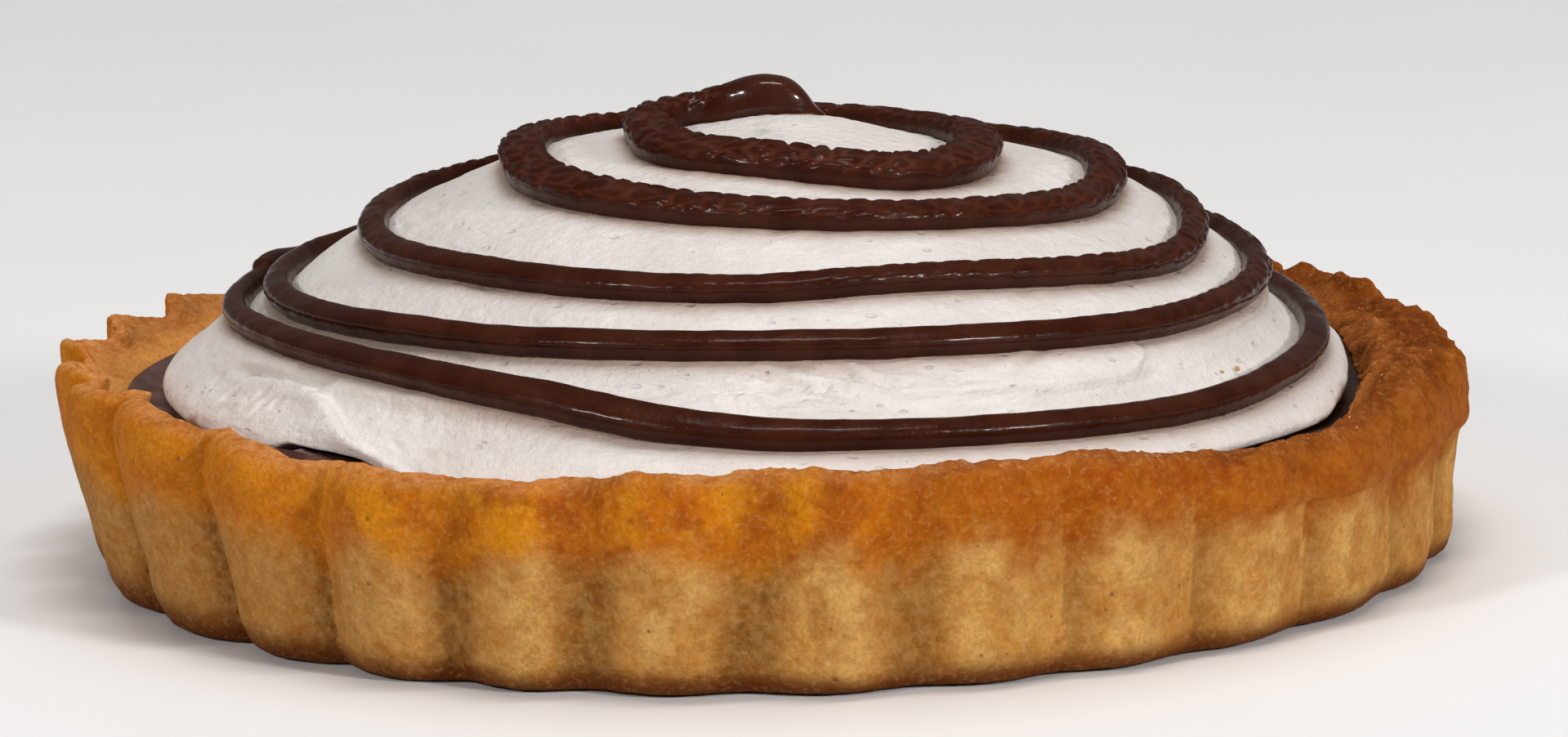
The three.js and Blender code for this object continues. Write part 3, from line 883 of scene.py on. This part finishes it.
def cream_outline(turns):
    """Radius and height of the cream from its middle to its foot, for many turns at once."""
    turn = round_trip(np.degrees(turns))
    height, hump_x, hump_y, spread = CREAM_HUMP
    rows = []
    for radius in CREAM_RADII:
        dome = (CREAM_TOP - FILLING_LEVEL) * (1 - (radius / CREAM_SPREAD) ** 2)
        x = radius * np.sin(turns) - hump_x
        y = -radius * np.cos(turns) - hump_y
        hump = height * bell(np.hypot(x, y), 0, spread)
        rows.append((radius, FILLING_LEVEL + dome + hump + back_fullness(radius, turn)))
    side = np.sin(turns)
    gap = window(turn, -53.5, -49.5, -41, -36)
    touching = window(turn, -39, -30, 60, 88)
    touching += 0.5 * window(turn, 25, 40, 58, 72)
    for k, (left, front, right, level) in enumerate(CREAM_SIDE):
        radius = front + (right - front) * np.maximum(side, 0)
        radius += (left - front) * np.maximum(-side, 0)
        foot = max(0, k - 2) / 4
        radius += 2.4 * touching * foot - ARCH_INWARD[k] * gap
        rows.append((radius, level + ARCH_UP[k] * gap))
    return outline(turns, rows)


def cream_surface(radius, turns):
    """Height and outward slope of the cream's plain surface at these places."""
    rows = cream_outline(turns)[: len(CREAM_RADII) + WIDENING_ROWS]
    columns = np.arange(len(turns))
    radii, heights = rows[..., 0], rows[..., 1]
    segment = np.clip((radii <= radius).sum(axis=0) - 1, 0, len(radii) - 2)
    inner, outer = rows[segment, columns], rows[segment + 1, columns]
    share = (radius - inner[:, 0]) / (outer[:, 0] - inner[:, 0])
    slopes = np.gradient(heights, axis=0) / np.gradient(radii, axis=0)
    slope = slopes[segment, columns] * (1 - share) + slopes[segment + 1, columns] * share
    return inner[:, 1] + (outer[:, 1] - inner[:, 1]) * share, slope


FACET_SIZE, FACET_DEPTH = 15, 0.25
FACET_SHIFT = Vector((3.7, 1.2, 8.1))


def facets(points, radius):
    """Broad hollows left by the spatula, in millimetres, which fade towards the foot."""
    found = [noise.noise(Vector(point) / FACET_SIZE + FACET_SHIFT) for point in points]
    return FACET_DEPTH * np.array(found) * ramp(radius, 50, 47)


MARK_RADIUS = 47


def cream_marks(turn, height):
    """The single marks of the spatula, by turn in degrees and height in millimetres."""
    edge_heights = [15.5, 16.1, 16.6, 17.1, 17.8, 19.1, 20.0, 20.6]
    edge_turns = [-31.5, -34.3, -37.1, -40.1, -43.4, -47.8, -51.0, -59.0]
    edge = np.interp(height, edge_heights, edge_turns)
    beside = np.radians(turn - edge) * MARK_RADIUS
    below = 0.4 * ramp(height, 21.5, 21.1) + 0.6 * ramp(height, 21.2, 19.8)
    recess = window(beside, -0.1, 0.6, 7, 24) * below
    bulge = bell(np.minimum(beside, 0), 0, 3.5) * ramp(beside, 0.5, 0)
    bulge *= ramp(height, 20.4, 19.4)
    groove_line = 19.9 + 0.06 * (turn + 69)
    groove = bell(height, groove_line, 0.3) * window(turn, -71, -67, -53, -50)
    layer_turns = [5, 22.9, 28.8, 33.2, 39, 42.7, 45.5]
    layer_line = np.interp(turn, layer_turns, [21.3, 20.9, 20.7, 20.4, 20.2, 20.4, 21.6])
    layer = ramp(height, layer_line - 0.15, layer_line + 0.12)
    layer *= np.exp(-np.maximum(height - layer_line, 0) / 2.5)
    layer *= window(turn, 6, 16, 45.2, 46.4)
    return -0.8 * recess + 0.5 * bulge - 0.7 * groove + 0.4 * layer


def cream_dents(turns, radius, height):
    """Small strokes that the spatula tore, each with a raised lip: named ones and drawn ones."""
    draw = np.random.default_rng(7)
    strokes = list(CREAM_DENTS)
    for _ in range(DRAWN_DENTS):
        turn, out = draw.uniform(-180, 180), draw.uniform(12, 48)
        level, _ = cream_surface(np.array([out]), np.radians([turn]))
        deep = draw.uniform(0.08, 0.24) * (0.5 if out < 30 else 1.0)
        length, width = draw.uniform(0.8, 3.0), draw.uniform(0.4, 0.7)
        strokes.append((turn, out, level[0], length, width, draw.uniform(-16, 16), deep))
    total = 0 * turns
    for turn, out, level, length, width, tilt, depth in strokes:
        aside = np.radians(round_trip(np.degrees(turns) - turn)) * out
        upward = (height - level) * 0.7 - (radius - out) * 0.7
        cosine, sine = math.cos(math.radians(tilt)), math.sin(math.radians(tilt))
        along, across = aside * cosine + upward * sine, upward * cosine - aside * sine
        lip = 0.3 * bell(across, 1.5 * width, 0.8 * width)
        total -= depth * bell(along, 0, length) * (bell(across, 0, width) - lip)
    return total


CREAM_GRID = 310
CREAM_SLOPE_STEP = 0.2
# Below this height the cream is hidden and stays smooth.
CREAM_MARKS_FROM = 15.2
# Pits in the cream: how many cells of them in a millimetre.
PIT_CELLS = 0.21


def cream_piece(rope_points, rope_widths):
    """A round sheet of evenly spread points: a square grid bent into a disc."""
    line = np.linspace(-1, 1, CREAM_GRID + 1)
    a, b = np.meshgrid(line, line, indexing="ij")
    a, b = a.reshape(-1), b.reshape(-1)
    wide = abs(a) >= abs(b)
    reach = np.where(wide, a, b)
    safe = np.where(reach == 0, 1, reach)
    angle = np.where(wide, math.pi / 4 * b / safe, math.pi / 2 - math.pi / 4 * a / safe)
    turns = np.where(reach < 0, angle + math.pi, angle) + math.pi / 2
    control = cream_outline(turns)
    knots = knots_of(control)
    columns = np.arange(len(a))
    at = abs(reach) * knots[-1]
    profile = hermite(knots, control, at, columns)
    ahead = hermite(knots, control, np.minimum(at + CREAM_SLOPE_STEP, knots[-1]), columns)
    slope = ahead - hermite(knots, control, np.maximum(at - CREAM_SLOPE_STEP, 0), columns)
    normal = np.stack([-slope[:, 1], slope[:, 0]], axis=-1)
    normal /= np.linalg.norm(normal, axis=1)[:, None]

    radius, height = profile.T
    turn = round_trip(np.degrees(turns))
    lift = facets(turned(radius, turns, height), radius)
    lift += cream_marks(turn, height) * ramp(radius, 36, 40)
    lift += cream_dents(turns, radius, height)
    radius = radius + normal[:, 0] * lift
    height = height + normal[:, 1] * lift
    points = turned(radius, turns, height)

    torn = sum(
        depth * bell(turn, middle, spread) * bell(height, level, tall)
        for depth, middle, spread, level, tall in CREAM_TORN
    )

    tree = kdtree.KDTree(len(rope_points))
    for index, point in enumerate(rope_points):
        tree.insert(Vector(point), index)
    tree.balance()
    found = [tree.find(Vector(point)) for point in points]
    edges = np.array([hit[2] - rope_widths[hit[1]] / 2 for hit in found])
    downhill = np.array([hit[0].z for hit in found]) > points[:, 2]
    # Painted shadow beside the rope, reaching further on the downhill side, with a warm bleed of
    # cocoa.
    rope_shadow_and_bleed = bell(np.maximum(edges, 0), 0, np.where(downhill, 1.1, 0.35))
    rope_shadow_and_bleed *= np.where(downhill, 1.0, 0.5)
    cocoa = 0.8 * bell(points[:, 0], 2.6, 1.9) * bell(points[:, 1], 7.2, 1.0)

    index = columns.reshape(CREAM_GRID + 1, CREAM_GRID + 1)
    rim = np.concatenate([index[:, 0], index[-1, 1:], index[-2::-1, -1], index[0, -2:0:-1]])
    quads = np.stack([index[:-1, :-1], index[1:, :-1], index[1:, 1:], index[:-1, 1:]], axis=-1)
    middle = len(points)
    under = [[middle, b, a] for a, b in zip(rim, np.roll(rim, -1))]
    points = np.concatenate([points, [[0, 0, FILLING_LEVEL + 0.3]]])
    shown = height > CREAM_MARKS_FROM
    measures = {"torn": torn, "rope_shadow_and_bleed": rope_shadow_and_bleed, "cocoa": cocoa, "shown": shown}
    measures = {name: np.append(values, 0) for name, values in measures.items()}
    return piece_from("spread_cream", points, quads.reshape(-1, 4).tolist() + under, measures)


def cream_tree(material):
    growth = Growth("Spread cream", Smear_depth=0.35, Tear_depth=1.7, Pit_depth=0.25, Seed=5.0)
    size = growth.given
    x, y, z = growth.separate(growth.place)
    out = growth.vector("LENGTH", growth.combine(x, y, 0.0))
    swept = growth.swept(x, y, 9.0, out * 0.55 + size["Seed"])
    smears = (growth.noise(swept, 0.8, 3.0, 0.5) - 0.5) * size["Smear depth"]
    dragged = growth.combine((x + z) * 0.6, y, z)
    tears = (growth.noise(dragged, 0.75, 3.0, 0.6, 0.4) - 0.5) * size["Tear depth"]
    apart, draw = growth.cells(growth.place, 1 / PIT_CELLS)
    wide = draw[1] * 0.3 + 0.3
    pits = growth.ease(apart, wide, wide * 0.3) * growth.calc("LESS_THAN", draw[0], 0.12)
    total = smears + tears * growth.measured("torn") - pits * size["Pit depth"]
    growth.raise_by(total * growth.measured("shown"))
    return growth.finish(material)


# ---- piped rope
# Length of one step along the rope, in millimetres: fine where it is wrinkled, coarse lower down.
ROPE_STEPS = [(0, 0.24), (800, 0.27), (1150, 0.38), (1500, 0.46), (2000, 0.46)]
ROPE_SIDES = 32
PATH_SAMPLES = 40000
# How far the rope's line lies over the cream, and how much deeper its underside goes.
ROPE_LIFT = 0.1
ROPE_SUNK = 0.35
# The section's shape: a power of 1 is round, and a smaller one is squarer.
ROUNDNESS_UNDER, ROUNDNESS_OVER = 0.45, 0.76


def rope_path():
    """The rope's middle line on the cream: angles, points, and the cream's outward normals."""
    stations = list(ROPE_START)
    for number, ring in enumerate(ROPE_RINGS):
        first = 90.0 + 360 * number
        stations += [(first + 360 / len(ring) * k, radius) for k, radius in enumerate(ring)]
    keys, sizes = zip(*stations, *ROPE_END)
    fine = np.linspace(ROPE_START[0][0], TAIL_TO, PATH_SAMPLES)
    radius = hermite(keys, sizes, fine)
    round_way = radius[1:] * np.diff(np.radians(fine))
    length = np.concatenate([[0], np.cumsum(np.hypot(np.diff(radius), round_way))])
    step = np.interp(fine, *np.array(ROPE_STEPS).T)
    rows_so_far = np.cumsum(np.diff(length, prepend=0) / step)
    count = int(rows_so_far[-1])
    along = np.interp(np.linspace(0, rows_so_far[-1], count), rows_so_far, length)
    angles = np.interp(along, length, fine)
    radius = hermite(keys, sizes, angles)
    radians = np.radians(angles)
    height, slope = cream_surface(radius, radians + math.pi / 2)
    climb = ramp(angles, TAIL_FROM, TAIL_TO + 4)
    radius = radius + (TAIL_RADIUS - radius) * climb
    height = height + (TAIL_HEIGHT - height) * climb
    slope = slope * (1 - climb)
    across = np.stack([np.cos(radians), np.sin(radians)], axis=-1)
    points = np.column_stack([radius[:, None] * across, height])
    normal = np.column_stack([-slope[:, None] * across, np.ones(count)])
    normal /= np.linalg.norm(normal, axis=1)[:, None]
    lift = facets(points, radius) + ROPE_LIFT
    points = points + normal * lift[:, None]
    return angles, along, points, normal


def rope_piece(angles, along, points, normal):
    table = np.array([row + (ROPE_DIPS.get(row[0], 0.0),) for row in ROPE_SIZES])
    sizes = np.maximum(hermite(table[:, 0], table[:, 1:], angles), 0)
    width, height, wrinkled, off = sizes.T[..., None]
    forward = np.gradient(points, axis=0)
    forward /= np.linalg.norm(forward, axis=1)[:, None]
    aside = np.cross(forward, normal)
    aside /= np.linalg.norm(aside, axis=1)[:, None]
    up = np.cross(aside, forward)
    side = once_round(ROPE_SIDES)
    power = np.where(np.cos(side) < 0, ROUNDNESS_UNDER, ROUNDNESS_OVER)
    cosine, sine = (np.sign(w) * abs(w) ** power for w in (np.cos(side), np.sin(side)))
    reach = np.where(cosine < 0, 0.45 * height + ROPE_SUNK, 0.55 * height)
    across, rise = width / 2 * sine, 0.45 * height + reach * cosine + off
    ring = points[:, None] + across[..., None] * aside[:, None] + rise[..., None] * up[:, None]
    upper = ramp(np.cos(side) - 0.05 * np.sin(side), -0.05, 0.6)
    measures = {
        "along": along[:, None],
        "side": np.where(side > math.pi, side - FULL_TURN, side),
        "half_width": width / 2,
        "wrinkled": wrinkled * upper * width / 4.5,
        "smooth_start": ramp(angles, 112, 98)[:, None],
    }
    ends = [ring[0].mean(axis=0), ring[-1].mean(axis=0)]
    return closed_piece("piped_rope", ring, ends, measures, True), width[:, 0]


def rope_tree(material):
    sizes = {"Scale length": 2.2, "Scale width": 1.5, "Scale depth": 0.46, "Slant": 0.7}
    growth = Growth("Piped rope", **sizes, Lump_depth=0.25, Seed=2.0)
    size, wrinkled = growth.given, growth.measured("wrinkled")
    across = growth.measured("side") * growth.measured("half_width")
    drift = growth.relief(3.0, 1.6, 1.0, 0.5, size["Seed"])
    run = (growth.measured("along") + across * size["Slant"] + drift) / size["Scale length"]
    place = growth.combine(run, across / size["Scale width"], size["Seed"])
    edge = growth.value(
        "ShaderNodeTexVoronoi",
        {"Vector": place, "Scale": 1.0},
        "Distance",
        feature="DISTANCE_TO_EDGE",
        voronoi_dimensions="2D",
    )
    hollow = 0.5 - growth.ease(edge, 0.0, 0.3)
    patch = growth.calc("MAXIMUM", growth.relief(3.5, 1.2, 2.0, 0.5, 11.0) + 0.85, 0.2)
    fold = hollow * (wrinkled * size["Scale depth"] * patch)
    # This measure carries the painted highlight on the ridges between the dimples.
    growth.keep("raised", hollow * wrinkled)
    growth.raise_by(fold + growth.relief(3.4, size["Lump depth"], 1.0, 0.5))
    return growth.finish(material)


# ---- crumbs and sugar
def scatter_tree(name, material, flat, faces):
    """Puts one small uneven grain on every point, turned and sized by the seed."""
    growth = Growth(name, Size=0.3, Unevenness=0.5, Seed=1.0)
    size = growth.given
    grain = growth.value("GeometryNodeMeshIcoSphere", {"Radius": MM / 2, "Subdivisions": faces})
    shape = growth.value("GeometryNodeTransform", {"Geometry": grain, "Scale": (1.0, 0.8, flat)})
    draw, turn = growth.draws(growth.value("GeometryNodeInputIndex"))
    width = size["Size"] * ((draw - 0.5) * size["Unevenness"] + 1.0)
    inputs = {
        "Points": growth.geometry,
        "Instance": shape,
        "Rotation": growth.vector("SCALE", turn, FULL_TURN),
        "Scale": growth.combine(width, width, width),
    }
    growth.geometry = growth.value("GeometryNodeInstanceOnPoints", inputs)
    return growth.finish(material, smooth=faces > 1)


SUGAR_GRAINS = 180
SUGAR_HEIGHT = 15


def sugar_places(mesh):
    """Places on the rim of the case, thicker at the right, drawn with a fixed seed."""
    draw = np.random.default_rng(41)
    total = len(mesh.vertices)
    top = np.zeros(total, np.float32)
    mesh.attributes["top"].data.foreach_get("value", top)
    place = np.zeros(total * 3, np.float32)
    mesh.vertices.foreach_get("co", place)
    place = place.reshape(-1, 3) / MM
    seen = (top > 0.05) & (place[:, 2] > SUGAR_HEIGHT)
    weight = seen * (0.35 + 0.65 * (place[:, 0] > 20))
    chosen = draw.choice(total, SUGAR_GRAINS, replace=False, p=weight / weight.sum())
    return place[chosen]


# Crumbs beside the lowest ring at the right.
CRUMB_PLACES = [(37.4, -26.6, 19.4), (38.8, -24.4, 19.2), (41.3, -25.0, 17.9), (44.9, -17.5, 18.0)]


# ---- making the tart
sugar_look = grain_finish(
    "sugar grains", 3.0, (206, 140, 74), (230, 178, 118), (0.2, 0.02, 0.5), 0.3
)
crumb_look = grain_finish(
    "crust crumbs", 0.9, (184, 146, 92), (206, 172, 118), (0.3, 0.06, 0.6), 0.7
)
sugar_tree = scatter_tree("Sugar grain", sugar_look, 0.7, 1)
crumb_tree = scatter_tree("Crumb", crumb_look, 0.6, 2)

case = grown(case_piece(), case_tree(crust_finish()))
filling = grown(filling_piece(), filling_tree(filling_finish()))
angles, along, path, path_normal = rope_path()
rope, rope_widths = rope_piece(angles, along, path, path_normal)
rope = grown(rope, rope_tree(rope_finish()))
cream = grown(cream_piece(path, rope_widths), cream_tree(cream_finish()))
sugar = piece_from("sugar_grains", sugar_places(case.data))
sugar = grown(sugar, sugar_tree, Size=0.18, Unevenness=1.0)
crumbs = grown(piece_from("crust_crumbs", CRUMB_PLACES), crumb_tree, Size=0.5, Unevenness=0.9)

for piece, node, slot in (
    (case, "crust", "baked_pastry"),
    (filling, "chocolate_filling", "dark_filling"),
    (cream, "cream_dome", "cream"),
    (rope, "piped_chocolate", "glossy_chocolate"),
):
    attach(piece, "root")
    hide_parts(node)
for piece in (sugar, crumbs):
    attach(piece, "root")


# ---- floor and light
def floor_finish():
    finish = Finish("pale floor")
    colour = finish.tint(finish.patches(90.0, 0.3, 0.7), (243, 242, 241), (246, 245, 244))
    return finish.set(Base_Color=colour, Roughness=0.6, Specular_IOR_Level=0.2)


FLOOR_RADIUS = 3000
FLOOR_SIDES = 96


def pale_floor():
    ring = turned(FLOOR_RADIUS, once_round(FLOOR_SIDES), np.zeros(FLOOR_SIDES))
    floor = piece_from("pale_floor", ring, [list(range(FLOOR_SIDES))])
    floor.data.materials.append(floor_finish())


# Each light: name, place in metres, width and height, power in watts, and whether gloss mirrors it.
LIGHTS = [
    ("right softbox", (0.6, -0.62, 0.36), (0.1, 0.1), 4.2, True),
    ("left softbox", (-0.55, -0.6, 0.42), (0.09, 0.09), 2.4, True),
    ("overhead softbox", (0.0, 0.15, 0.85), (0.75, 0.75), 2.8, False),
    ("top softbox", (0.05, -0.14, 0.8), (0.3, 0.06), 1.4, True),
    ("backdrop", (0.0, 1.3, 0.45), (2.4, 1.0), 6.0, False),
]
LIGHTS_AIM = (0, 0, 0.02)
WORLD_STRENGTH = 0.12


def studio():
    for name, place, size, power, mirrored in LIGHTS:
        data = bpy.data.lights.new(name, "AREA")
        data.shape = "RECTANGLE"
        data.size, data.size_y = size
        data.energy = power
        lamp = placed(name, data)
        lamp.location = place
        lamp.visible_glossy = mirrored
        aim = Vector(LIGHTS_AIM) - Vector(place)
        lamp.rotation_euler = aim.to_track_quat("-Z", "Y").to_euler()
    world = bpy.data.worlds.new("studio")
    world.use_nodes = True
    background = world.node_tree.nodes["Background"]
    background.inputs["Color"].default_value = (1.0, 1.0, 1.0, 1.0)
    background.inputs["Strength"].default_value = WORLD_STRENGTH
    bpy.context.scene.world = world
    bpy.context.scene.view_settings.view_transform = "Standard"


CAMERA_PLACE = (0.001388, -0.618333, 0.135992)
CAMERA_TILT = math.radians(11.044)
CAMERA_ROLL = math.radians(-1.294)
CAMERA_LENS = 168.34


def camera():
    data = bpy.data.cameras.new("camera")
    data.sensor_width = 36.0
    data.lens = CAMERA_LENS
    data.clip_start = 0.01
    eye = placed("camera", data)
    upright = Matrix.Rotation(math.pi / 2 - CAMERA_TILT, 4, "X")
    roll = Matrix.Rotation(CAMERA_ROLL, 4, "Z")
    eye.matrix_world = Matrix.Translation(CAMERA_PLACE) @ upright @ roll
    bpy.context.scene.camera = eye


pale_floor()
studio()
camera()
